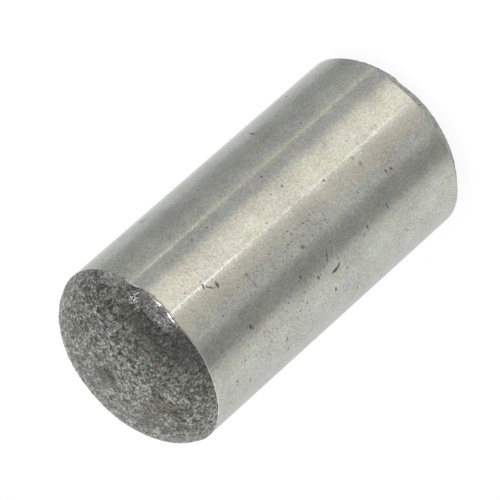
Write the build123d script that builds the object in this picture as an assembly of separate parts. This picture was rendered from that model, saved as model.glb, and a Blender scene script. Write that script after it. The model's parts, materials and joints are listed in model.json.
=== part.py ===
from build123d import *
from math import cos, radians, sin, sqrt
import os

# A short round steel key that stands on its flat end, crowned end up.
# The barrel is ground true. Both ends are left rough and fall away from the barrel in a
# rounded shoulder: the upper one runs on into a shallow crown with a small hollow at its
# centre, and the lower one runs into a flat foot.
# Millimetres, +Z up along the key's axis, origin at the centre of the flat foot.

# Driving dimensions
barrel_diameter = 10.0
barrel_length = 18.0
crown_radius = 13.5
crown_shoulder_radius = 2.1
crown_shoulder_lean = 20.0
foot_shoulder_radius = 2.7
foot_shoulder_lean = 32.0
hollow_radius = 0.45
hollow_depth = 0.08

# Each shoulder is an arc that the grinding of the barrel cuts short, so it leaves the
# barrel's edge at its lean to the axis instead of running smoothly into the barrel.
barrel_radius = barrel_diameter / 2
foot_lean = radians(foot_shoulder_lean)
crown_lean = radians(crown_shoulder_lean)

# Lower end: the shoulder ends level, in the edge of the flat foot.
foot_radius = barrel_radius - foot_shoulder_radius * cos(foot_lean)
foot_centre_z = foot_shoulder_radius
barrel_bottom_z = foot_centre_z - foot_shoulder_radius * sin(foot_lean)
barrel_top_z = barrel_bottom_z + barrel_length

# Upper end: shoulder and crown are tangent on the line that joins their two centres.
shoulder_centre_r = barrel_radius - crown_shoulder_radius * cos(crown_lean)
shoulder_centre_z = barrel_top_z - crown_shoulder_radius * sin(crown_lean)
centre_gap = crown_radius - crown_shoulder_radius
centre_drop = sqrt(centre_gap**2 - shoulder_centre_r**2)
crown_centre_z = shoulder_centre_z - centre_drop
blend_r = shoulder_centre_r * crown_radius / centre_gap
blend_z = crown_centre_z + centre_drop * crown_radius / centre_gap

# Central hollow in the crown, left from forming the blank.
hollow_rim_z = crown_centre_z + sqrt(crown_radius**2 - hollow_radius**2)
hollow_floor_z = hollow_rim_z - hollow_depth
hollow_arc_radius = (hollow_radius**2 + hollow_depth**2) / (2 * hollow_depth)
hollow_centre_z = hollow_floor_z + hollow_arc_radius


def middle_of_arc(centre, arc_radius, start, end):
    """The point halfway along the shorter arc from start to end about a centre."""
    toward_r = (start[0] + end[0]) / 2 - centre[0]
    toward_z = (start[1] + end[1]) / 2 - centre[1]
    reach = arc_radius / sqrt(toward_r**2 + toward_z**2)
    return (centre[0] + toward_r * reach, centre[1] + toward_z * reach)


# Corners of the section, as distance from the axis and height.
foot_middle = (0, 0)
foot_edge = (foot_radius, 0)
barrel_bottom = (barrel_radius, barrel_bottom_z)
barrel_top = (barrel_radius, barrel_top_z)
blend = (blend_r, blend_z)
hollow_rim = (hollow_radius, hollow_rim_z)
hollow_floor = (0, hollow_floor_z)

foot_shoulder = middle_of_arc(
    (foot_radius, foot_centre_z), foot_shoulder_radius, foot_edge, barrel_bottom
)
crown_shoulder = middle_of_arc(
    (shoulder_centre_r, shoulder_centre_z), crown_shoulder_radius, barrel_top, blend
)
crown = middle_of_arc((0, crown_centre_z), crown_radius, blend, hollow_rim)
hollow = middle_of_arc((0, hollow_centre_z), hollow_arc_radius, hollow_rim, hollow_floor)

# Half the lengthwise section, drawn on the XZ plane from the foot's middle outwards and
# up, then turned about the axis.
with BuildPart() as pin:
    with BuildSketch(Plane.XZ):
        with BuildLine():
            Line(foot_middle, foot_edge)
            ThreePointArc(foot_edge, foot_shoulder, barrel_bottom)
            Line(barrel_bottom, barrel_top)
            ThreePointArc(barrel_top, crown_shoulder, blend)
            ThreePointArc(blend, crown, hollow_rim)
            ThreePointArc(hollow_rim, hollow, hollow_floor)
            Line(hollow_floor, foot_middle)
        make_face()
    revolve(axis=Axis.Z)

os.makedirs("parts", exist_ok=True)
export_step(pin.part, "parts/pin.step")

print("height", round(pin.part.bounding_box().size.Z, 3))
print("foot radius", round(foot_radius, 3))
print("barrel from", round(barrel_bottom_z, 4), "to", round(barrel_top_z, 4))
print("crown meets shoulder at radius", round(blend_r, 3), "height", round(blend_z, 3))
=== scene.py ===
import json
from math import atan2, cos, degrees, pi, radians, sin, sqrt, tan

import bpy
import numpy as np
from mathutils import Matrix, Vector, noise


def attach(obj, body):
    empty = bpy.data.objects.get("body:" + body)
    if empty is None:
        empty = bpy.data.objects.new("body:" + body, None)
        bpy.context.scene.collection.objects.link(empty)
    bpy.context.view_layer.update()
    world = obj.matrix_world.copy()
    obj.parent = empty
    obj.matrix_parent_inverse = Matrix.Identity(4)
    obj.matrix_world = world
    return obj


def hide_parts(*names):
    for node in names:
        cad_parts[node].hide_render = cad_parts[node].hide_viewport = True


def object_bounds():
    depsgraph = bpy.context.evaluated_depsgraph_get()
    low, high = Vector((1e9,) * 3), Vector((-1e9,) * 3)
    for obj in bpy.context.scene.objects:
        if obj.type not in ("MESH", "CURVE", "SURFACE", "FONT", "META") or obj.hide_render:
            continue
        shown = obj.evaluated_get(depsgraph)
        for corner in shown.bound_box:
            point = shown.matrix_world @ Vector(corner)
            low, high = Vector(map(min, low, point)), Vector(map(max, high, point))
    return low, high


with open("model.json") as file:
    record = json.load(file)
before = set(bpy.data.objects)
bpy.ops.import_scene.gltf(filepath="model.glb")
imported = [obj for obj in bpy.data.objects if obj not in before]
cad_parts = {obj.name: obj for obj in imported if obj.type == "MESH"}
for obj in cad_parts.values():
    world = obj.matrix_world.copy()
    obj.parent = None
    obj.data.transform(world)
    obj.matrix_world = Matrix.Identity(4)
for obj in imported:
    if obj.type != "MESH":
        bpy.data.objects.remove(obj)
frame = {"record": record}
CAD_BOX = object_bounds()

bl_info = {
    "name": "Round shaft key",
    "version": (1, 0, 0),
    "blender": (4, 5, 0),
    "location": "View3D > Sidebar > Shaft Key",
    "description": "Builds a ground steel shaft key with rough ends, and a small studio around it",
    "category": "Object",
}

MM = 0.001
NODE = "pin"
WHITE = (1.0, 1.0, 1.0, 1.0)

# The grain of the rough ends is drawn out unevenly: finer where a share is larger, along X, Y, Z.
GRAIN_STRETCH = (1.15, 0.8, 1.35)
# A soft-edged mark is full up to the first share of its size, and gone at the second.
SOFT_EDGE = (0.5, 1.3)


def record_mount(name):
    """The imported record's mount of that name."""
    return next(m for m in frame["record"]["mounts"] if m["name"] == name)


# ---------------------------------------------------------------- shader maths


class Term:
    """A shader socket that takes part in arithmetic. Each operator adds its Math node."""

    def __init__(self, tree, socket=None):
        self.tree = tree
        self.socket = socket

    def make(self, kind, settings=None, inputs=None, output=0):
        """Adds a node: its settings first, then the values or links of its sockets."""
        node = self.tree.nodes.new(kind)
        for name, value in (settings or {}).items():
            setattr(node, name, value)
        for key, value in (inputs or {}).items():
            target = node.inputs[key]
            if isinstance(value, Term):
                self.tree.links.new(value.socket, target)
            else:
                target.default_value = value
        return Term(self.tree, node.outputs[output] if node.outputs else None)

    def sibling(self, output):
        """Another output of the node that this socket belongs to."""
        return Term(self.tree, self.socket.node.outputs[output])

    def math(self, operation, *values):
        return self.make("ShaderNodeMath", {"operation": operation}, dict(enumerate(values)))

    def vector(self, operation, *values, output=0):
        """A vector operation. Output 1 is the plain number that lengths and distances give."""
        sockets = dict(enumerate(values))
        return self.make("ShaderNodeVectorMath", {"operation": operation}, sockets, output)

    def scaled(self, surface, share):
        """A vector or a colour made larger or smaller."""
        sockets = {0: surface, "Scale": share}
        return self.make("ShaderNodeVectorMath", {"operation": "SCALE"}, sockets)

    def split(self, place):
        """The X of a vector. Its siblings 1 and 2 are Y and Z."""
        return self.make("ShaderNodeSeparateXYZ", None, {0: place})

    def __add__(self, other):
        return self.math("ADD", self, other)

    __radd__ = __add__

    def __sub__(self, other):
        return self.math("SUBTRACT", self, other)

    def __rsub__(self, other):
        return self.math("SUBTRACT", other, self)

    def __mul__(self, other):
        return self.math("MULTIPLY", self, other)

    def __truediv__(self, other):
        return self.math("DIVIDE", self, other)

    def __pow__(self, other):
        return self.math("POWER", self, other)

    def clamped(self):
        """This value held between 0 and 1."""
        return self.make(
            "ShaderNodeMath", {"operation": "ADD", "use_clamp": True}, {0: self, 1: 0.0}
        )

    def step(self, low, high, start=0.0, end=1.0):
        """A smooth change from start to end as this value goes from low to high."""
        return self.make(
            "ShaderNodeMapRange",
            {"interpolation_type": "SMOOTHSTEP"},
            {"Value": self, "From Min": low, "From Max": high, "To Min": start, "To Max": end},
        )

    def tint(self, low, high):
        """A colour from low to high as this value goes from 0 to 1."""
        return self.make(
            "ShaderNodeMix", {"data_type": "RGBA"}, {0: self, 6: low, 7: high}, output=2
        )

    def noise(self, at, scale, detail=2.0, roughness=0.5, distortion=0.0):
        return self.make(
            "ShaderNodeTexNoise",
            {"noise_dimensions": "3D"},
            {
                "Vector": at,
                "Scale": scale,
                "Detail": detail,
                "Roughness": roughness,
                "Distortion": distortion,
            },
        )


def colour(values):
    """A property's colour as a socket takes it."""
    return (values[0], values[1], values[2], 1.0)


def new_material(name):
    """An empty material and a Term to start its shader from."""
    material = bpy.data.materials.new(name)
    material.use_nodes = True
    material.node_tree.nodes.clear()
    return material, Term(material.node_tree)


def finish_material(shade, surface):
    shade.make("ShaderNodeOutputMaterial", None, {"Surface": surface})


def finish_metal(shade, surface, roughness, height, distance):
    """Ends a metal's shader. Distance is how far, in metres, a height of 1 stands out."""
    sockets = {"Strength": 1.0, "Distance": distance, "Height": height}
    normal = shade.make("ShaderNodeBump", None, sockets)
    sockets = {"Base Color": surface, "Metallic": 1.0, "Roughness": roughness, "Normal": normal}
    finish_material(shade, shade.make("ShaderNodeBsdfPrincipled", None, sockets))


def glow_of(shade, shown, strength):
    """A glowing surface's shader."""
    return shade.make("ShaderNodeEmission", None, {"Color": shown, "Strength": strength})


def place_on_object(shade):
    """Where a point lies on the object, in metres."""
    return shade.make("ShaderNodeTexCoord", output=3)


def place_in_mm(shade):
    """Where a point lies on the object, in millimetres."""
    return shade.scaled(place_on_object(shade), 1 / MM)


# -------------------------------------------------------------------- settings


def colour_setting(name, description, default):
    """A colour that the panel shows as a swatch."""
    return bpy.props.FloatVectorProperty(
        name=name,
        description=description,
        subtype="COLOR",
        min=0.0,
        max=1.0,
        default=default,
    )


class KeyFormSettings(bpy.types.PropertyGroup):
    """Form of the key's ends, which the record's mounts don't give."""

    crown_radius: bpy.props.FloatProperty(
        name="Crown Radius", description="Radius of the shallow crown, in millimetres", default=13.5
    )
    crown_shoulder_radius: bpy.props.FloatProperty(
        name="Crown Shoulder",
        description="Radius of the shoulder round the crown, in millimetres",
        default=2.1,
    )
    crown_shoulder_lean: bpy.props.FloatProperty(
        name="Crown Lean",
        description="Angle at which the crown's shoulder leaves the barrel",
        default=radians(20),
        subtype="ANGLE",
    )
    foot_shoulder_radius: bpy.props.FloatProperty(
        name="Foot Shoulder",
        description="Radius of the shoulder round the foot, in millimetres",
        default=2.7,
    )
    foot_shoulder_lean: bpy.props.FloatProperty(
        name="Foot Lean",
        description="Angle at which the foot's shoulder leaves the barrel",
        default=radians(32),
        subtype="ANGLE",
    )
    hollow_radius: bpy.props.FloatProperty(
        name="Hollow Radius",
        description="Radius of the hollow in the crown's centre, in millimetres",
        default=0.45,
    )
    hollow_depth: bpy.props.FloatProperty(
        name="Hollow Depth", description="Depth of that hollow, in millimetres", default=0.08
    )
    hollow_offset: bpy.props.FloatProperty(
        name="Hollow Offset",
        description="How far the hollow lies from the key's axis, in millimetres",
        default=0.38,
    )
    grain_size: bpy.props.FloatProperty(
        name="Grain Size",
        description="Width of one grain of the rough ends, in millimetres",
        default=0.17,
    )
    grain_height: bpy.props.FloatProperty(
        name="Grain Height",
        description="How far the grain rises and falls, in millimetres",
        default=0.03,
    )
    end_skew: bpy.props.FloatProperty(
        name="End Skew",
        description="Share of their uneven form that the two ends take",
        default=1.0,
    )
    edge_wobble: bpy.props.FloatProperty(
        name="Edge Wobble",
        description="How far the barrel's edge wanders, in millimetres",
        default=0.025,
    )
    edge_width: bpy.props.FloatProperty(
        name="Edge Width",
        description="Width of the worn edge where grinding meets the rough end, in millimetres",
        default=0.08,
    )
    end_cells: bpy.props.IntProperty(
        name="End Cells", description="Mesh cells across each rough end", default=204
    )
    barrel_rings: bpy.props.IntProperty(
        name="Barrel Rings", description="Rings of mesh cells along the barrel", default=8
    )


class KeyFinishSettings(bpy.types.PropertyGroup):
    """Colours and finish of the ground barrel and the rough ends."""

    steel: colour_setting("Steel", "Colour of the ground barrel", (0.503, 0.502, 0.455))
    hue_patches: bpy.props.FloatProperty(
        name="Hue Patches",
        description="Strength of the faint patches of other hues on the barrel",
        default=0.33,
    )
    steel_roughness: bpy.props.FloatProperty(
        name="Barrel Roughness", description="Roughness of the ground barrel", default=0.105
    )
    patchiness: bpy.props.FloatProperty(
        name="Barrel Patches",
        description="Strength of the broad light and dark patches of the barrel",
        default=0.58,
    )
    speckle: bpy.props.FloatProperty(
        name="Barrel Speckle",
        description="Strength of the fine light and dark grain of the barrel",
        default=1.2,
    )
    waviness: bpy.props.FloatProperty(
        name="Barrel Waviness",
        description="Height of the fine waves in the ground surface, in millimetres",
        default=0.0025,
    )
    pit: colour_setting("Pits", "Colour inside the pits and scratches", (0.07, 0.065, 0.055))
    scale_dark: colour_setting(
        "Rough Dark", "Darkest colour of the rough ends", (0.0496, 0.0508, 0.0395)
    )
    scale_light: colour_setting(
        "Rough Light", "Lightest colour of the rough ends", (0.4565, 0.462, 0.427)
    )
    # Partly painted shade: the slate zones stand in for the dim front edge of the crown, and are
    # partly smoother skin.
    slate: colour_setting(
        "Slate", "Colour of the smooth dark zones of the crown", (0.079, 0.0795, 0.088)
    )
    # Partly painted shade of the crown's dim front edge, like the slate zones, and partly smoother
    # skin.
    dull: colour_setting(
        "Dull Zone",
        "Colour of the dull zone in front of the crown's middle",
        (0.125, 0.128, 0.114),
    )
    slate_light: colour_setting(
        "Light Slate", "Colour of the smooth pale zones near the crown's edge", (0.24, 0.23, 0.25)
    )
    stain: colour_setting("Brown Stain", "Brown of the stains on the crown", (0.13, 0.108, 0.068))
    stain_red: colour_setting(
        "Red Stain", "Reddish brown of the stains on the crown", (0.13, 0.083, 0.08)
    )
    end_roughness: bpy.props.FloatProperty(
        name="End Roughness", description="Roughness of the rough ends", default=0.42
    )
    end_polish: bpy.props.FloatProperty(
        name="End Polish",
        description="How much smoother the worn grains and facets are than the rough ends",
        default=0.22,
    )
    end_waviness: bpy.props.FloatProperty(
        name="End Waviness",
        description="Height of the finest relief of the rough ends, in millimetres",
        default=0.012,
    )
    rough_hue: bpy.props.FloatProperty(
        name="Rough Hue Patches",
        description="Strength of the faint patches of other hues on the rough ends",
        default=0.32,
    )
    # Partly a painted glint: the worn grains and the facets take this colour where glints stand.
    worn_edge_and_glints: colour_setting(
        "Worn Edge", "Colour of the worn edge and of the brightest grains", (0.6, 0.61, 0.585)
    )


class StudioSettings(bpy.types.PropertyGroup):
    """Camera, floor and light."""

    elevation: bpy.props.FloatProperty(
        name="Elevation",
        description="Height of the camera above the horizon",
        default=radians(29.85),
        subtype="ANGLE",
    )
    roll: bpy.props.FloatProperty(
        name="Roll",
        description="Turn of the camera about its own axis",
        default=radians(-131.565),
        subtype="ANGLE",
    )
    distance: bpy.props.FloatProperty(
        name="Distance",
        description="Distance from the camera to its aim",
        default=0.2427,
        subtype="DISTANCE",
    )
    lens: bpy.props.FloatProperty(
        name="Lens", description="Focal length, in millimetres", default=360.0
    )
    aim: bpy.props.FloatVectorProperty(
        name="Aim",
        description="Point that the camera looks at",
        subtype="TRANSLATION",
        default=(0.000327, 0.00024, 0.010684),
    )
    floor_colour: colour_setting("Floor", "Colour of the floor", (0.93, 0.93, 0.93))
    floor_glow: bpy.props.FloatProperty(
        name="Floor White",
        description="Share of plain white that the camera sees in the floor",
        subtype="FACTOR",
        default=0.93,
    )
    sky: bpy.props.FloatProperty(
        name="Fill", description="Strength of the even light from all round", default=0.8
    )
    lamp_power: bpy.props.FloatProperty(
        name="Lamp", description="Power of the soft lamp", subtype="POWER", default=4.0
    )
    dome: bpy.props.FloatProperty(
        name="Dome", description="Brightness of the cloth overhead", default=1.45
    )
    tube_distance: bpy.props.FloatProperty(
        name="Tube Distance",
        description="Distance of the tube lamps from the key",
        default=0.045,
        subtype="DISTANCE",
    )
    tube_flicker: bpy.props.FloatProperty(
        name="Tube Unevenness",
        description="How unevenly the tube lamps glow along their length",
        default=1.8,
    )
    spot_distance: bpy.props.FloatProperty(
        name="Spot Distance",
        description="Distance of the small lamps from the key",
        default=0.4,
        subtype="DISTANCE",
    )
    screen_radius: bpy.props.FloatProperty(
        name="Screen Radius",
        description="Distance of the reflector screen from the key",
        default=0.5,
        subtype="DISTANCE",
    )


# ------------------------------------------------------------------- the key

# Points of each stretch in the sections of the two ends.
CROWN_POINTS = 180
SHOULDER_POINTS = 160
FLAT_POINTS = 120
# The hollow's half width and half length as shares of its radius.
HOLLOW_WIDE, HOLLOW_LONG = 1.35, 0.75
# Seed of the grain's vector noise, which differs from run to run without one.
GRAIN_SEED = 7
# Each end's own seed, which shifts it to another part of the grain.
CROWN_SEED, FOOT_SEED = 3.0, 11.0
# Lowest place of the grain, in grain heights below the smooth form.
GRAIN_FLOOR = -2.2
# Power at which the rise and fall of the barrel's edges dies away along it.
EDGE_FADE = 12
# Bearings, in degrees, between which the crown's edge is sharp. Elsewhere it is worn round.
SHARP_BEARINGS = (30, 150)

# How far the marks of the barrel are shaken out of shape, in millimetres.
MARK_SHAKE = 0.12
# Small specks and larger dots of the barrel: cells to the millimetre. Only some hold one.
SPECKS_PER_MM, DOTS_PER_MM = 3.6, 1.1
# Where small specks crowd on the barrel: place round it and height, half length, half width, turn.
CROWDS = (((-4.1, 14.4), 1.6, 3.4, 0), ((-0.8, 11.8), 0.8, 4.5, 0))
# The barrel's ripple: the heights, in millimetres, between which it calms towards the crown,
# and its strength below and above them.
RIPPLE_HEIGHTS, RIPPLE_SHARES = (13.5, 16.0), (1.6, 1.2)
# The tone about which the rough skin's contrast is set, from dark at 0 to light at 1.
MIDDLE_TONE = 0.42
# What is added to the tone of both rough ends, and what the crowned end then loses.
END_LIGHTENING, CROWN_DARKENING = 0.3, 0.4
# Degrees that a stain turns for each millimetre of its place to the right.
STAIN_TURN = 40

# Scratches in the ground barrel: place round the barrel from its front and height, half length
# and half width, all in millimetres, then the turn in degrees and the depth of the scratch.
SCRATCHES = (
    (0.48, 16.9, 0.19, 0.05, 155, 0.9),
    (0.25, 16.67, 0.24, 0.06, 42, 0.9),
    (0.12, 16.28, 0.2, 0.075, 165, 1.0),
    (-2.45, 10.44, 0.33, 0.055, 155, 1.0),
    (-3.24, 9.98, 0.15, 0.06, 130, 1.1),
    (-3.33, 10.27, 0.26, 0.09, 96, 1.1),
    (5.5, 7.72, 0.32, 0.06, 172, 1.1),
    (-4.68, 14.22, 0.17, 0.05, 175, 0.9),
    (-5.4, 14.2, 0.14, 0.05, 5, 0.9),
    (-2.68, 7.57, 0.18, 0.06, 5, 1.0),
    (-2.57, 6.0, 0.22, 0.05, 175, 0.9),
    (-3.02, 11.37, 0.14, 0.055, 10, 0.9),
)
# Pits in the ground barrel: place round the barrel and height, radius and depth of the pit.
PITS = (
    (0.1, 16.5, 0.05, 0.7),
    (-2.5, 16.08, 0.12, 1.0),
    (-2.65, 16.0, 0.08, 0.8),
    (-2.3, 12.3, 0.09, 1.0),
    (-2.4, 12.52, 0.07, 0.9),
    (-4.35, 10.55, 0.1, 1.0),
    (-2.53, 8.37, 0.07, 0.9),
    (-1.28, 4.72, 0.08, 0.9),
    (-1.18, 5.05, 0.08, 0.9),
    (-0.1, 5.93, 0.13, 0.45),
    (0.33, 6.05, 0.12, 0.45),
    (0.47, 8.1, 0.07, 0.8),
    (-1.25, 11.32, 0.13, 0.6),
    (-0.45, 14.72, 0.09, 0.7),
    (-3.72, 9.55, 0.08, 0.7),
    (-4.5, 17.85, 0.09, 0.8),
    (-5.15, 17.0, 0.09, 0.8),
    (2.73, 10.12, 0.08, 0.9),
    (6.3, 15.1, 0.2, 0.5),
)
# Stains on the crown: place, radius, strength, and which of the stain colours.
STAINS = (
    ((-0.75, -3.25), 0.3, 0.4, "stain_red"),
    ((-1.5, -2.3), 0.4, 0.3, "stain_red"),
    ((0.2, -3.2), 0.35, 0.25, "stain_red"),
    ((-2.2, -0.9), 0.4, 0.3, "stain_red"),
    ((2.25, -3.65), 0.25, 0.4, "stain_red"),
    ((-2.55, -1.35), 0.45, 0.4, "stain"),
    ((0.45, 1.9), 0.35, 0.3, "stain"),
    ((0.3, -0.15), 0.42, 0.4, "stain"),
    ((-1.9, 2.0), 0.4, 0.2, "stain_red"),
)
# Smooth zones of the crown near its front edge. The slate and dull zones are partly painted shade,
# the dimness of the crown's front edge, and partly smoother skin. Place, half length and half width
# in millimetres, turn in degrees, how fully the zone covers the grain, and its colour.
ZONES = (
    ((-1.15, -4.5), 1.2, 0.42, -14, 0.52, "slate"),
    ((0.85, -3.85), 1.6, 0.45, 4, 0.5, "dull"),
    ((1.0, -4.68), 1.1, 0.26, 12, 0.4, "slate_light"),
)
# Places where the crown's tone is made lighter or darker: partly painted light and shade, partly
# uneven skin. Place, half length, half width, turn, and the change of tone.
SHADES = (
    # This first row paints the shadow of the crown's shallow hollow.
    ((0.35, 0.5), 0.75, 0.6, 0, -0.29),
    ((0.7, 1.0), 0.45, 0.4, 0, -0.15),
    ((1.5, 2.4), 0.8, 0.5, 0, -0.17),
    ((2.7, 1.75), 0.4, 0.35, 0, -0.14),
    ((-1.6, 2.4), 0.5, 0.3, 0, -0.08),
    ((-2.7, 1.6), 0.35, 0.4, 0, -0.1),
    ((-1.35, 1.0), 0.35, 0.3, 0, 0.08),
    ((3.1, 0.3), 0.7, 0.35, 0, -0.14),
    ((2.3, -0.6), 0.7, 0.45, 0, -0.1),
    ((-2.5, -1.4), 0.8, 0.6, 0, -0.18),
    ((-2.6, 0.5), 0.8, 0.6, 0, -0.18),
    ((-4.0, -0.7), 0.7, 0.8, 0, -0.1),
    ((-3.3, -2.1), 0.5, 0.4, 0, -0.12),
    ((-0.35, -1.2), 0.6, 0.45, 0, -0.06),
    ((3.5, -2.0), 0.6, 0.35, 0, 0.09),
    ((1.3, -2.0), 0.35, 0.3, 0, -0.08),
    ((1.3, -2.8), 0.3, 0.25, 0, 0.08),
    ((-0.2, -3.5), 0.7, 0.45, 0, -0.09),
    ((-2.6, -3.4), 0.5, 0.3, 0, 0.08),
    ((2.7, -3.3), 0.8, 0.4, 20, 0.09),
    # These last two lighten a narrow band along the crown's edge: partly a painted highlight of the
    # edge, partly lighter grains.
    ((3.5, -3.4), 1.4, 0.18, 46, 0.2),
    ((2.2, -4.46), 0.6, 0.1, 26, 0.16),
)
# Polished facets at the crown's edge: smoother, and painted light in broken dots, partly a painted
# glint. Place, half length, half width, turn, strength, and how far the facet is unbroken, from 0
# to 1.
FACETS = (
    ((2.3, -4.13), 0.32, 0.18, 25, 0.85, 0.05),
    ((1.8, -4.16), 0.22, 0.1, 25, 0.7, 0.05),
    ((0.42, -4.95), 0.34, 0.018, 5, 1.5, 0.8),
    ((1.22, -4.82), 0.12, 0.045, 40, 1.5, 0.7),
    ((2.83, -4.1), 0.5, 0.04, 34, 1.1, 0.5),
    ((1.5, -4.76), 0.55, 0.035, 17, 0.8, 0.35),
    ((0.85, -4.58), 0.9, 0.14, 12, 0.42, 0.0),
)


# Height of the barrel's two edges over their even places, in millimetres, by bearing in degrees.
# The ends aren't quite square to the barrel.
CROWN_EDGE = (
    (-180, 0.01),
    (-150, 0.02),
    (-130, -0.01),
    (-110, 0.02),
    (-80, 0.06),
    (-46, 0.06),
    (-34, 0.01),
    (-24, -0.02),
    (-10, 0.0),
    (0, 0.03),
    (9, -0.1),
    (34, -0.17),
    (70, -0.18),
    (86, -0.17),
    (112, -0.01),
    (180, 0.01),
)
FOOT_EDGE = (
    (-180, 0.0),
    (-85, 0.1),
    (-50, 0.08),
    (-34, 0.05),
    (0, 0.01),
    (23.5, 0.01),
    (26.5, -0.11),
    (50, -0.13),
    (90, -0.1),
    (180, 0.0),
)
# How far the foot's shoulder stands out or in, in millimetres, by the same bearings.
FOOT_SWELL = (
    (-180, 0.0),
    (-90, -0.045),
    (-35, -0.025),
    (-15, 0.0),
    (5, 0.015),
    (18, -0.015),
    (30, -0.04),
    (40, -0.04),
    (52, -0.015),
    (70, 0.045),
    (110, 0.045),
    (180, 0.0),
)


def arc(centre, radius, start, end, count):
    """Points on a circle's arc between two angles, as (distance from the axis, height)."""
    angles = np.linspace(start, end, count)
    return np.stack(
        [centre[0] + radius * np.cos(angles), centre[1] + radius * np.sin(angles)], axis=1
    )


def crown_profile(form, radius, edge_z):
    """The crown end's section from the axis out to the barrel's edge."""
    lean = form.crown_shoulder_lean
    shoulder = form.crown_shoulder_radius * MM
    crown = form.crown_radius * MM
    centre_r = radius - shoulder * cos(lean)
    centre_z = edge_z - shoulder * sin(lean)
    drop = sqrt((crown - shoulder) ** 2 - centre_r**2)
    blend = atan2(drop, centre_r)
    crown_z = centre_z - drop
    parts = [
        arc((0, crown_z), crown, pi / 2, blend, CROWN_POINTS),
        arc((centre_r, centre_z), shoulder, blend, lean, SHOULDER_POINTS)[1:],
    ]
    return np.concatenate(parts)


def foot_profile(form, radius, edge_z):
    """The foot end's section from the axis out to the barrel's edge."""
    lean = form.foot_shoulder_lean
    shoulder = form.foot_shoulder_radius * MM
    flat = radius - shoulder * cos(lean)
    parts = [
        np.stack([np.linspace(0, flat, FLAT_POINTS), np.zeros(FLAT_POINTS)], axis=1),
        arc((flat, edge_z + shoulder * sin(lean)), shoulder, -pi / 2, -lean, SHOULDER_POINTS)[1:],
    ]
    return np.concatenate(parts)


def disc_grid(cells):
    """A square grid folded onto the unit disc: distance and angle of each of its points."""
    line = np.linspace(-1, 1, cells + 1)
    a, b = np.meshgrid(line, line, indexing="xy")
    wide = np.abs(a) >= np.abs(b)
    reach = np.where(wide, a, b)
    other = np.where(wide, b, a)
    share = np.divide(other, reach, out=np.zeros_like(a), where=reach != 0)
    angle = np.where(wide, share * pi / 4, pi / 2 - share * pi / 4)
    angle = np.where(reach < 0, angle + pi, angle)
    return np.abs(reach), angle


def grid_border(cells):
    """Indices of a grid's border points, once round in the direction of growing angle."""
    n = cells + 1
    ring = []
    half = cells // 2
    ring += [j * n + cells for j in range(half, cells)]
    ring += [cells * n + i for i in range(cells, 0, -1)]
    ring += [j * n for j in range(cells, 0, -1)]
    ring += [i for i in range(0, cells)]
    ring += [j * n + cells for j in range(0, half)]
    return ring


def grain(point, size, seed):
    """Height of the rough skin at a point, from about -1 to 1."""
    p = Vector(point) / size
    shift = Vector((seed, seed * 1.7, seed * 0.6))
    warp = noise.noise_vector(p * 0.5 + shift) * 0.6
    ridge = 1 - 2 * abs(noise.noise(p * 0.55 + warp + shift * 2))
    fine = noise.noise(p + warp + shift)
    broad = noise.noise(p * 0.2 + shift * 3)
    return 0.9 * (ridge - 0.6) + 0.8 * fine + 0.35 * broad


def hollow_depth(form, x, y):
    """Depth of the shallow hollow near the crown's centre, as a share of its full depth."""
    across = (x - form.hollow_offset * MM) / (form.hollow_radius * HOLLOW_WIDE * MM)
    down = y / (form.hollow_radius * HOLLOW_LONG * MM)
    return np.clip(1 - across**2 - down**2, 0, 1) ** 1.5


def facet_share(x, y):
    """How fully each point lies inside a polished facet, from 0 to 1."""
    share = np.zeros(len(x))
    for (centre_x, centre_y), length, width, turn, _, solid in FACETS:
        dx, dy = x / MM - centre_x, y / MM - centre_y
        along = dx * cos(radians(turn)) + dy * sin(radians(turn))
        across = dy * cos(radians(turn)) - dx * sin(radians(turn))
        reach = np.hypot(along / length, across / width)
        share = np.maximum(share, np.interp(reach, SOFT_EDGE, [solid, 0]))
    return share


def rough_end(form, profile, seed, upper):
    """The points of one rough end before its relief, their normals, and the grain at each."""
    steps = np.hypot(*np.diff(profile, axis=0).T)
    length = np.concatenate([[0], np.cumsum(steps)])
    reach, angle = (values.ravel() for values in disc_grid(form.end_cells))
    along = reach * length[-1]
    r = np.interp(along, length, profile[:, 0])
    z = np.interp(along, length, profile[:, 1])
    slope = np.gradient(profile, length, axis=0)
    tr = np.interp(along, length, slope[:, 0])
    tz = np.interp(along, length, slope[:, 1])
    size = np.hypot(tr, tz) * (1.0 if upper else -1.0)
    points = np.stack([r * np.cos(angle), r * np.sin(angle), z], axis=1) * GRAIN_STRETCH
    skin = np.array([grain(p, form.grain_size * MM, seed) for p in points])
    return r, z, angle, -tz / size, tr / size, skin


def end_relief(form, radius, r, x, y, bearing, skin, upper):
    """How far each point of a rough end stands out from its smooth form."""
    relief = form.grain_height * MM * (skin - 1.0).clip(GRAIN_FLOOR, 0)
    if upper:
        hollow = hollow_depth(form, x, y)
        relief = relief * (1 - 0.5 * hollow) - form.hollow_depth * MM * hollow
        relief = relief * (1 - 0.7 * facet_share(x, y))
        relief = relief * np.interp(y / radius, [-0.8, -0.45], [0.65, 1.0])
    else:
        shoulder = np.interp(r, [0.6 * radius, 0.8 * radius, radius], [0, 1, 0.3])
        swell = np.interp(bearing, *zip(*FOOT_SWELL)) * form.end_skew * MM
        relief = relief + swell * shoulder
    return relief * np.interp(radius - r, [0, form.edge_width * MM], [0.15, 1.0])


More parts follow.
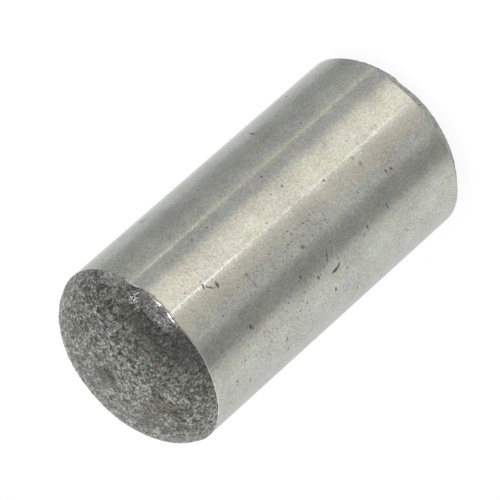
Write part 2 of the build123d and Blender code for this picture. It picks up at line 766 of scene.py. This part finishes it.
def end_surface(form, radius, profile, edge_z, seed, upper):
    """One rough end: its points, the grain at each, and the indices of those on its edge."""
    r, z, angle, nr, nz, skin = rough_end(form, profile, seed, upper)
    x, y = r * np.cos(angle), r * np.sin(angle)
    bearing = np.degrees(np.arctan2(x, -y))
    relief = end_relief(form, radius, r, x, y, bearing, skin, upper)
    lean = np.interp(bearing, *zip(*(CROWN_EDGE if upper else FOOT_EDGE))) * form.end_skew * MM
    z = z + nz * relief + lean * np.interp(r / radius, [0.55, 0.9], [0, 1])
    r = r + nr * relief
    wobble = form.edge_wobble * MM * (skin * 0.6 + 0.3 * np.sin(angle * 7 + seed))
    border = grid_border(form.end_cells)
    r[border] = radius
    z[border] = (edge_z + wobble + lean)[border]
    points = np.stack([r * np.cos(angle), r * np.sin(angle), z], axis=1)
    return points.tolist(), (skin * 0.5 + 0.5).tolist(), border


def end_faces(cells, first, upper):
    """The square faces of one rough end, whose first point has that index."""
    row = cells + 1
    faces = []
    for j in range(cells):
        for i in range(cells):
            corner = first + j * row + i
            face = [corner, corner + 1, corner + row + 1, corner + row]
            faces.append(face if upper else face[::-1])
    return faces


def barrel_points(form, radius, low, high, foot, crown):
    """The barrel's rings between its two edges, which they follow close to each end."""
    edge = form.edge_width * MM
    middle = np.linspace(low, high, form.barrel_rings + 1)[1:-1]
    rings = []
    for z in (low + edge * 2, *middle, high - edge * 2):
        share = (z - low) / (high - low)
        ring = []
        for below, above in zip(foot, crown):
            angle = atan2(above[1], above[0])
            lift = (above[2] - high) * share**EDGE_FADE
            lift += (below[2] - low) * (1 - share) ** EDGE_FADE
            ring.append([radius * cos(angle), radius * sin(angle), float(z + lift)])
        rings.append(ring)
    return rings


def sharpen(mesh, ring):
    """Marks the mesh edges that run along a ring of points as sharp."""
    on_ring = np.zeros(len(mesh.vertices), bool)
    on_ring[ring] = True
    ends = np.zeros(len(mesh.edges) * 2, np.int32)
    mesh.edges.foreach_get("vertices", ends)
    sharp = mesh.attributes.new("sharp_edge", "BOOLEAN", "EDGE")
    sharp.data.foreach_set("value", on_ring[ends].reshape(-1, 2).all(axis=1).tolist())


def build_key_mesh(form):
    """The whole key as one closed mesh, with the faces of the rough ends in slot 1."""
    noise.seed_set(GRAIN_SEED)
    mount = record_mount("barrel")
    radius = mount["dims"]["r_mm"] * MM
    half = mount["dims"]["length_mm"] * MM / 2
    low, high = mount["pos_m"][2] - half, mount["pos_m"][2] + half
    verts, faces, grains, edges = [], [], [], []
    for profile, edge_z, seed, upper in (
        (crown_profile(form, radius, high), high, CROWN_SEED, True),
        (foot_profile(form, radius, low), low, FOOT_SEED, False),
    ):
        points, skin, border = end_surface(form, radius, profile, edge_z, seed, upper)
        edges.append([len(verts) + k for k in border])
        faces += end_faces(form.end_cells, len(verts), upper)
        verts += points
        grains += skin
    slots = [1] * len(faces)
    top, bottom = edges
    rings = [bottom]
    foot, crown = [verts[k] for k in bottom], [verts[k] for k in top]
    for points in barrel_points(form, radius, low, high, foot, crown):
        rings.append(range(len(verts), len(verts) + len(points)))
        verts += points
        grains += [0.5] * len(points)
    rings.append(top)
    count = len(top)
    for below, above in zip(rings, rings[1:]):
        for i in range(count):
            j = (i + 1) % count
            faces.append([below[i], below[j], above[j], above[i]])
            slots.append(0)
    mesh = bpy.data.meshes.new("shaft_key")
    mesh.from_pydata(verts, [], faces)
    mesh.polygons.foreach_set("material_index", slots)
    mesh.polygons.foreach_set("use_smooth", [True] * len(faces))
    grain_field = mesh.attributes.new("grain", "FLOAT", "POINT")
    grain_field.data.foreach_set("value", grains)
    start, end = SHARP_BEARINGS
    sharp_top = [k for k in top if start < degrees(atan2(verts[k][0], -verts[k][1])) < end]
    sharpen(mesh, bottom + sharp_top)
    mesh.validate()
    mesh.update()
    return mesh


def spots(shade, place, per_mm, share, smallest, largest, edge):
    """Round spots scattered over a surface, 1 inside and 0 outside. Only a share of the cells
    holds one, and sizes are in millimetres."""
    settings = {"voronoi_dimensions": "2D"}
    sockets = {"Vector": place, "Scale": per_mm}
    distance = shade.make("ShaderNodeTexVoronoi", settings, sockets)
    chance = shade.make("ShaderNodeSeparateColor", None, {0: distance.sibling(1)})
    present = chance.step(1 - share, 1 - share + 0.01)
    size = (smallest + chance.sibling(1) ** 2.0 * (largest - smallest)) * per_mm
    return (size - distance).step(0.0, edge * per_mm) * present


def mark(shade, place, centre, half_length, half_width, turn):
    """A soft-edged oval, 1 in its middle and 0 outside."""
    inside = shade.make(
        "ShaderNodeMapping",
        {"vector_type": "TEXTURE"},
        {
            "Vector": place,
            "Location": (centre[0], centre[1], 0.0),
            "Rotation": (0.0, 0.0, radians(turn)),
            "Scale": (half_length, half_width, 1.0),
        },
    )
    return shade.vector("LENGTH", inside, output=1).step(*SOFT_EDGE, 1.0, 0.0)


def hue_patches(shade, place, per_mm, strength, shares, detail=2.0, roughness=0.5):
    """Faint patches of other hues, as a colour to multiply by. Shares are what red, green and
    blue take of the strength."""
    swing = [strength * share for share in shares]
    even = [1.0 - 0.5 * share for share in swing]
    hue = shade.noise(place, per_mm, detail, roughness).sibling(1)
    return shade.vector("MULTIPLY_ADD", hue, swing, even)


def barrel_marks(shade, place, flat):
    """Specks, scratches and pits in the barrel: how deep each point lies, from 0 to about 1."""
    shake = shade.vector("SUBTRACT", shade.noise(place, 9.0).sibling(1), (0.5,) * 3)
    shaken = shade.vector("MULTIPLY_ADD", shake, (MARK_SHAKE,) * 3, flat)
    crowd = shade.math("MAXIMUM", *(mark(shade, flat, *oval) for oval in CROWDS)) * 0.8 + 0.2
    specks = spots(shade, shaken, SPECKS_PER_MM, 0.7, 0.03, 0.075, 0.03) * crowd * 0.6
    dots = spots(shade, shaken, DOTS_PER_MM, 0.3, 0.04, 0.08, 0.03) * 0.8
    marks = shade.math("MAXIMUM", specks, dots)
    for x, y, half_length, half_width, turn, depth in SCRATCHES:
        oval = mark(shade, shaken, (x, y), half_length, half_width, turn) * depth
        marks = shade.math("MAXIMUM", marks, oval)
    for x, y, size, depth in PITS:
        away = shade.vector("DISTANCE", shaken, (x, y, 0.0), output=1)
        full, gone = (size * share for share in SOFT_EDGE)
        marks = shade.math("MAXIMUM", marks, away.step(full, gone, depth, 0.0))
    return marks


def ground_steel(finish):
    """Satin ground steel: fine light and dark grain, faint warm and cool patches, and marks."""
    material, shade = new_material("ground_steel")
    place = place_in_mm(shade)
    x = shade.split(place)
    y, z = x.sibling(1), x.sibling(2)
    around = shade.math("ARCTAN2", x, y * -1.0) * record_mount("barrel")["dims"]["r_mm"]
    flat = shade.make("ShaderNodeCombineXYZ", None, {0: around, 1: z})

    broad = shade.noise(place, 0.5, 3.0, 0.75)
    speckle = shade.noise(place, 9.0, 2.0, 0.8)
    tone = 1.0 + (broad - 0.5) * finish.patchiness + (speckle - 0.5) * finish.speckle
    hue = hue_patches(shade, place, 1.3, finish.hue_patches, (0.6, 0.35, 1.05), 4.0, 0.68)
    steel = shade.scaled(shade.vector("MULTIPLY", hue, finish.steel[:]), tone)

    marks = barrel_marks(shade, place, flat)
    surface = (marks * 0.8).tint(steel, colour(finish.pit))
    roughness = finish.steel_roughness + (speckle - 0.5) * 0.06 + marks * 0.3
    ripple = shade.noise(place, 3.0, 1.0, 0.5) * z.step(*RIPPLE_HEIGHTS, *RIPPLE_SHARES)
    height = speckle * 0.3 + ripple - marks * 3.0
    finish_metal(shade, surface, roughness, height, finish.waviness * MM)
    return material


def skin_tone(shade, place, drawn, y, fine):
    """How light the rough skin is before the crown's shade patches: relief, threads and grain."""
    relief = shade.make("ShaderNodeAttribute", {"attribute_name": "grain"}, output="Fac")
    threads = shade.math("ABSOLUTE", shade.noise(drawn, 4.2, 1.2, 0.5, 0.8) - 0.5)
    threads = threads.step(0.0, 0.1, 1.0, 0.0)
    broad = shade.noise(place, 0.8, 2.0, 0.6)
    middling = shade.noise(drawn, 2.3, 0.0)
    # The grain's low places are painted darker and its high places lighter: partly painted shade in
    # the grain's hollows, partly the skin's own light and dark grain.
    tone = relief * 0.46 + threads * 0.46 + (fine - 0.5) * 0.9
    tone = tone + (middling - 0.5) * 0.5 + (broad - 0.5) * 0.4
    contrast = y.step(-3.7, -1.8, 0.54, 0.74) + y.step(1.0, 3.0, 0.0, 0.34)
    return (tone - MIDDLE_TONE) * contrast + MIDDLE_TONE


def polish_and_glints(shade, drawn, flat, upper):
    """How bright and smooth the worn grains and the polished facets are, from 0 to 1. Their light
    colour is partly a painted glint.
    """
    glint = shade.noise(drawn, 10.3, 1.0, 0.6)
    bright = glint.step(0.68, 0.78) * 0.35
    for centre, length, width, turn, strength, solid in FACETS:
        broken = glint.step(0.48 - solid * 0.25, 0.6 - solid * 0.22)
        spot = mark(shade, flat, centre, length, width, turn) * broken * strength * upper
        bright = shade.math("MAXIMUM", bright, spot.clamped())
    return bright


def rough_scale(finish):
    """The dark, grainy skin of the ends: light worn grains, stains, and a bright worn edge. Some of
    it is painted: shade in the grain's hollows, light and shade patches on the crown, and glints
    on its worn grains and facets.
    """
    material, shade = new_material("rough_steel")
    place = place_in_mm(shade)
    x = shade.split(place)
    y, z = x.sibling(1), x.sibling(2)
    flat = shade.make("ShaderNodeCombineXYZ", None, {0: x, 1: y})
    drawn = shade.vector("MULTIPLY", place, GRAIN_STRETCH)
    fine = shade.noise(drawn, 7.4, 0.6, 0.5, 0.5)
    upper = z.step(5.0, 15.0)

    tone = skin_tone(shade, place, drawn, y, fine) + (END_LIGHTENING - upper * CROWN_DARKENING)
    # Painted light and shade on the crown, in part uneven skin.
    for centre, length, width, turn, lift in SHADES:
        tone = tone + mark(shade, flat, centre, length, width, turn) * upper * lift
    worn = tone.step(0.0, 1.1) ** 1.15
    surface = worn.tint(colour(finish.scale_dark), colour(finish.scale_light))
    hue = hue_patches(shade, place, 1.8, finish.rough_hue, (0.4, 0.0, 1.0))
    surface = shade.vector("MULTIPLY", hue, surface)
    # The slate and dull zones are partly painted shade of the crown's dim front edge, partly
    # smoother skin.
    for centre, length, width, turn, strength, name in ZONES:
        zone = mark(shade, flat, centre, length, width, turn) * (fine * 1.8) * strength * upper
        surface = zone.clamped().tint(surface, colour(getattr(finish, name)))
    for centre, reach, strength, name in STAINS:
        turn = centre[0] * STAIN_TURN
        spot = mark(shade, flat, centre, reach, reach * 0.8, turn) * (fine * 2.0 - 0.1)
        spot = (spot * strength * upper).clamped()
        surface = spot.tint(surface, colour(getattr(finish, name)))

    bright = polish_and_glints(shade, drawn, flat, upper)
    # Painted glints, in part real polish: the worn grains and facets turn this light colour.
    surface = bright.tint(surface, colour(finish.worn_edge_and_glints))
    roughness = finish.end_roughness - bright * finish.end_polish
    height = (fine + shade.noise(drawn, 5.0, 0.5, 0.5) * 1.5) * (1.0 - bright * 0.7)
    finish_metal(shade, surface, roughness, height, finish.end_waviness * MM)
    return material


class SHAFTKEY_OT_key(bpy.types.Operator):
    """Build the shaft key: ground barrel, crowned end and flat end in one piece"""

    bl_idname = "shaft_key.build_key"
    bl_label = "Build Key"

    def execute(self, context):
        scene = context.scene
        mesh = build_key_mesh(scene.key_form)
        mesh.materials.append(ground_steel(scene.key_finish))
        mesh.materials.append(rough_scale(scene.key_finish))
        key = bpy.data.objects.new("shaft_key", mesh)
        scene.collection.objects.link(key)
        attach(key, "root")
        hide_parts(NODE)
        return {"FINISHED"}


# ------------------------------------------------------------------- studio


# Half of the floor's width, in metres.
FLOOR_REACH = 3.0
# Place of the soft lamp and its width, in metres.
LAMP_PLACE = (0.05, -0.35, 0.6)
LAMP_WIDTH = 0.6
# Nearest and farthest point that the camera shows, in metres.
CAMERA_RANGE = (0.01, 20.0)


def new_object(scene, name, verts, faces, material):
    """A mesh object in the scene, with one material."""
    mesh = bpy.data.meshes.new(name)
    mesh.from_pydata(verts, [], faces)
    mesh.materials.append(material)
    piece = bpy.data.objects.new(name, mesh)
    scene.collection.objects.link(piece)
    return piece


def add_floor(scene, studio):
    """A wide pale floor that takes the key's shadow and looks plain white to the camera."""
    material, shade = new_material("floor")
    matt = shade.make("ShaderNodeBsdfDiffuse", None, {"Color": colour(studio.floor_colour)})
    white = shade.make("ShaderNodeEmission", None, {"Strength": 1.0})
    seen = seen_directly(shade) * studio.floor_glow
    finish_material(shade, shade.make("ShaderNodeMixShader", None, {0: seen, 1: matt, 2: white}))
    reach = FLOOR_REACH
    corners = [(-reach, -reach, 0), (reach, -reach, 0), (reach, reach, 0), (-reach, reach, 0)]
    floor = new_object(scene, "floor", corners, [(0, 1, 2, 3)], material)
    floor.location.z = CAD_BOX[0].z
    floor.visible_glossy = False


def seen_directly(shade):
    """1 for what the camera, a mirror or glass shows, and 0 for light on other things."""
    camera = shade.make("ShaderNodeLightPath", output="Is Camera Ray")
    glossy = shade.make("ShaderNodeLightPath", output="Is Glossy Ray")
    glass = shade.make("ShaderNodeLightPath", output="Is Transmission Ray")
    return (camera + glossy + glass).clamped()


def add_world(scene, studio):
    """Plain white behind everything, and an even fill light."""
    world = bpy.data.worlds.new("studio")
    world.use_nodes = True
    world.node_tree.nodes.clear()
    shade = Term(world.node_tree)
    strength = seen_directly(shade) * (1 - studio.sky) + studio.sky
    light = shade.make("ShaderNodeBackground", None, {"Color": WHITE, "Strength": strength})
    shade.make("ShaderNodeOutputWorld", None, {"Surface": light})
    scene.world = world


# The screen's brightness and tint by bearing: the angle, in degrees, round the key from the
# camera's side. Warm cloth is on the lit side and cool grey cloth on the others.
CREAM = (1.03, 1.0, 0.923)
SOFT_CREAM = (1.03, 1.0, 0.945)
PALE = (1.035, 1.0, 0.94)
GREY = (0.985, 1.0, 1.0)
COOL = (0.985, 1.0, 1.02)
TEAL = (0.965, 1.0, 1.0)
STRAW = (1.0, 1.0, 0.945)
OLIVE = (0.985, 1.0, 0.975)
SCREEN = (
    (-180, 0.88, GREY),
    (-163, 0.855, GREY),
    (-150, 0.79, GREY),
    (-130, 0.725, TEAL),
    (-121.5, 0.56, TEAL),
    (-105, 0.5, TEAL),
    (-81, 0.63, GREY),
    (-76, 0.74, STRAW),
    (-71.5, 0.79, STRAW),
    (-69, 0.63, COOL),
    (-55, 0.68, COOL),
    (-46, 1.02, CREAM),
    (-34, 1.25, CREAM),
    (-24, 1.31, CREAM),
    (-13, 1.2, SOFT_CREAM),
    (-8, 1.01, PALE),
    (-4, 0.89, PALE),
    (8, 0.77, PALE),
    (18, 0.735, GREY),
    (22, 0.7, GREY),
    (27, 0.74, GREY),
    (39, 0.48, GREY),
    (48, 0.445, GREY),
    (59, 0.485, GREY),
    (69, 0.76, OLIVE),
    (80, 0.9, OLIVE),
    (95, 0.975, GREY),
    (120, 0.95, GREY),
    (144, 0.855, GREY),
    (154, 0.785, GREY),
    (165, 0.71, GREY),
    (180, 0.78, GREY),
)
# The upper part of the screen, which only the ends of the key reflect.
UPPER_SCREEN = (
    (-180, 1.2),
    (-152, 1.75),
    (-119, 1.4),
    (-95, 1.15),
    (-70, 0.9),
    (-42, 0.5),
    (0, 0.5),
    (42, 0.62),
    (69, 1.0),
    (92, 1.55),
    (119, 2.0),
    (137, 1.85),
    (152, 1.6),
    (180, 1.2),
)
# Heights, in metres, between which the screen's lower part gives way to its upper part.
SCREEN_CHANGE = (-0.2, -0.02)
# Foot of the screen, in metres, and its head as a share of the screen's radius.
SCREEN_FOOT, SCREEN_HEAD = -0.7, 0.35
# A ramp's colours end at 1, so the screen's are held at a share of their value.
RAMP_SHARE = 0.5
# Rows and columns of the dome's faces.
DOME_ROWS, DOME_COLUMNS = 12, 48
# Thin upright lamps near the key: bearings of the foot and the head and width in degrees, lowest
# and highest place in metres, brightness and tint.
TUBES = (
    (-69.7, -68.8, 1.1, -0.0245, -0.0095, 1.04, (1.0, 1.0, 0.95)),
    (-68.5, -66.2, 1.15, -0.0095, 0.05, 1.45, (1.0, 1.0, 0.98)),
    (-12.5, -12.5, 1.0, -0.0235, -0.0085, 1.85, (0.98, 0.985, 1.0)),
    (-12.5, -12.5, 1.05, -0.0085, 0.05, 2.6, (0.98, 0.985, 1.0)),
)
# Small lamps above: bearing, width, lowest and highest elevation in degrees, brightness.
SPOTS = ((-16.5, 29.0, 8.0, 24.0, 6.0), (-57.0, 14.0, 31.0, 40.0, 4.5))
# The spots' elevations are taken from this height, in metres, near the key's crown.
SPOT_LIFT = 0.02


def reflection_only(piece):
    """Leaves a studio piece to reflections: the camera and the floor don't see it."""
    piece.visible_camera = False
    piece.visible_diffuse = False
    piece.visible_shadow = False
    piece.visible_transmission = False
    piece.visible_volume_scatter = False


def upright_strip(scene, name, radius, bearings, width, low, high, material):
    """A curved strip that stands round the key, facing it, between two heights. Bearings are
    those of its foot and its head, in degrees."""
    count = max(2, int(width / 3) + 1)
    foot, head = (
        [
            (-radius * sin(radians(b)), -radius * cos(radians(b)), z)
            for b in np.linspace(bearing - width / 2, bearing + width / 2, count)
        ]
        for bearing, z in zip(bearings, (low, high))
    )
    faces = [(i, i + 1, count + i + 1, count + i) for i in range(count - 1)]
    reflection_only(new_object(scene, name, foot + head, faces, material))


def dome_material(studio, height):
    """The dome's glow: strongest low down behind the key, and dim overhead."""
    material, shade = new_material("dome")
    radius = studio.screen_radius
    x = shade.split(place_on_object(shade))
    y, z = x.sibling(1), x.sibling(2)
    rise = (z - height) / radius
    front = y * (0.55 / radius) + 0.85
    side = x * (0.25 / radius)
    level = (front - side) * rise.step(0.5, 0.9, 1.0, 0.55) * studio.dome
    finish_material(shade, glow_of(shade, WHITE, level))
    return material


def add_dome(scene, studio, height):
    """The cloth over the screen, which starts at the screen's head."""
    radius = studio.screen_radius
    verts, faces = [], []
    for row in range(DOME_ROWS + 1):
        turn = row / DOME_ROWS * pi / 2
        reach = radius * cos(turn)
        z = height + radius * sin(turn)
        for column in range(DOME_COLUMNS):
            bearing = column / DOME_COLUMNS * 2 * pi
            verts.append((-reach * sin(bearing), -reach * cos(bearing), z))
    for row in range(DOME_ROWS):
        for column in range(DOME_COLUMNS):
            after = (column + 1) % DOME_COLUMNS
            low, high = row * DOME_COLUMNS, (row + 1) * DOME_COLUMNS
            faces.append((low + column, low + after, high + after, high + column))
    material = dome_material(studio, height)
    reflection_only(new_object(scene, "dome", verts, faces, material))


def add_lamp(scene, studio):
    """The soft lamp over the floor, which gives the key its shadow."""
    data = bpy.data.lights.new("soft_lamp", "AREA")
    data.shape = "DISK"
    data.size = LAMP_WIDTH
    data.energy = studio.lamp_power
    lamp = bpy.data.objects.new("soft_lamp", data)
    lamp.location = LAMP_PLACE
    lamp.rotation_mode = "QUATERNION"
    lamp.rotation_quaternion = lamp.location.to_track_quat("Z", "Y")
    lamp.visible_glossy = False
    scene.collection.objects.link(lamp)


def colour_ramp(shade, turn, stops):
    """A ramp round the key from bearings in degrees and their colours."""
    ramp = shade.make("ShaderNodeValToRGB", None, {0: turn})
    elements = ramp.socket.node.color_ramp.elements
    for bearing, tint in stops[1:-1]:
        elements.new((bearing + 180) / 360)
    for element, (bearing, tint) in zip(elements, stops):
        element.position = (bearing + 180) / 360
        element.color = (*(c * RAMP_SHARE for c in tint), 1)
    return ramp


def screen_material():
    """The screen's glow: bands of brightness and tint by bearing, in a lower and an upper part."""
    material, shade = new_material("screen")
    x = shade.split(place_on_object(shade))
    y, z = x.sibling(1), x.sibling(2)
    turn = shade.math("ARCTAN2", x * -1.0, y * -1.0) / (2 * pi) + 0.5
    low = colour_ramp(shade, turn, [(b, [level * c for c in tint]) for b, level, tint in SCREEN])
    high = colour_ramp(shade, turn, [(b, [level] * 3) for b, level in UPPER_SCREEN])
    shown = z.step(*SCREEN_CHANGE).tint(low, high)
    finish_material(shade, glow_of(shade, shown, 1 / RAMP_SHARE))
    return material


def lamp_material(name, level, tint, unevenness):
    """A glowing material, brighter in some places than in others."""
    material, shade = new_material(name)
    glow = 1.0 + (shade.noise(place_in_mm(shade), 0.9, 2.0, 0.7) - 0.5) * unevenness
    finish_material(shade, glow_of(shade, shade.scaled(tint, glow), level))
    return material


def add_reflections(scene, studio):
    """The cloth screen, the dome, and the tube and spot lamps that the key reflects."""
    radius = studio.screen_radius
    height = radius * SCREEN_HEAD
    screen = screen_material()
    upright_strip(scene, "screen", radius, (0, 0), 360, SCREEN_FOOT, height, screen)
    add_dome(scene, studio, height)
    for number, (foot, head, width, low, high, level, tint) in enumerate(TUBES, 1):
        name = f"tube_{number}"
        lamp = lamp_material(name, level, tint, studio.tube_flicker)
        upright_strip(scene, name, studio.tube_distance, (foot, head), width, low, high, lamp)
    for number, (bearing, width, low, high, level) in enumerate(SPOTS, 1):
        name = f"spot_{number}"
        lamp = lamp_material(name, level, WHITE[:3], 0.0)
        reach = studio.spot_distance * cos(radians(low))
        feet, top = (reach * tan(radians(rise)) + SPOT_LIFT for rise in (low, high))
        upright_strip(scene, name, reach, (bearing, bearing), width, feet, top, lamp)


def add_camera(scene, studio):
    """A camera of long focal length, turned about its own axis so that the key lies aslant."""
    data = bpy.data.cameras.new("camera")
    camera = bpy.data.objects.new("camera", data)
    scene.collection.objects.link(camera)
    back = Vector((0.0, -cos(studio.elevation), sin(studio.elevation)))
    data.lens = studio.lens
    data.clip_start, data.clip_end = CAMERA_RANGE
    camera.location = Vector(studio.aim) + back * studio.distance
    facing = (-back).to_track_quat("-Z", "Y").to_matrix().to_4x4()
    camera.matrix_world = (
        Matrix.Translation(camera.location) @ facing @ Matrix.Rotation(studio.roll, 4, "Z")
    )
    scene.camera = camera


class SHAFTKEY_OT_stage(bpy.types.Operator):
    """Set the floor, the light and the camera round the key"""

    bl_idname = "shaft_key.set_stage"
    bl_label = "Set Stage"

    def execute(self, context):
        scene = context.scene
        add_floor(scene, scene.key_studio)
        add_world(scene, scene.key_studio)
        add_reflections(scene, scene.key_studio)
        add_lamp(scene, scene.key_studio)
        add_camera(scene, scene.key_studio)
        scene.view_settings.view_transform = "Standard"
        return {"FINISHED"}


class SHAFTKEY_PT_panel(bpy.types.Panel):
    """The shaft key's sizes, colours and steps"""

    bl_idname = "SHAFTKEY_PT_panel"
    bl_label = "Shaft Key"
    bl_space_type = "VIEW_3D"
    bl_region_type = "UI"
    bl_category = "Shaft Key"

    def draw(self, context):
        layout = self.layout
        for title, group in (
            ("Form", context.scene.key_form),
            ("Finish", context.scene.key_finish),
            ("Studio", context.scene.key_studio),
        ):
            box = layout.box()
            box.label(text=title)
            for name in group.__annotations__:
                box.prop(group, name)
        layout.operator(SHAFTKEY_OT_key.bl_idname)
        layout.operator(SHAFTKEY_OT_stage.bl_idname)


CLASSES = (
    KeyFormSettings,
    KeyFinishSettings,
    StudioSettings,
    SHAFTKEY_OT_key,
    SHAFTKEY_OT_stage,
    SHAFTKEY_PT_panel,
)


def register():
    for cls in CLASSES:
        bpy.utils.register_class(cls)
    bpy.types.Scene.key_form = bpy.props.PointerProperty(type=KeyFormSettings)
    bpy.types.Scene.key_finish = bpy.props.PointerProperty(type=KeyFinishSettings)
    bpy.types.Scene.key_studio = bpy.props.PointerProperty(type=StudioSettings)


def unregister():
    del bpy.types.Scene.key_studio
    del bpy.types.Scene.key_finish
    del bpy.types.Scene.key_form
    for cls in reversed(CLASSES):
        bpy.utils.unregister_class(cls)


def main():
    register()
    bpy.ops.shaft_key.build_key()
    bpy.ops.shaft_key.set_stage()


if __name__ == "__main__":
    main()
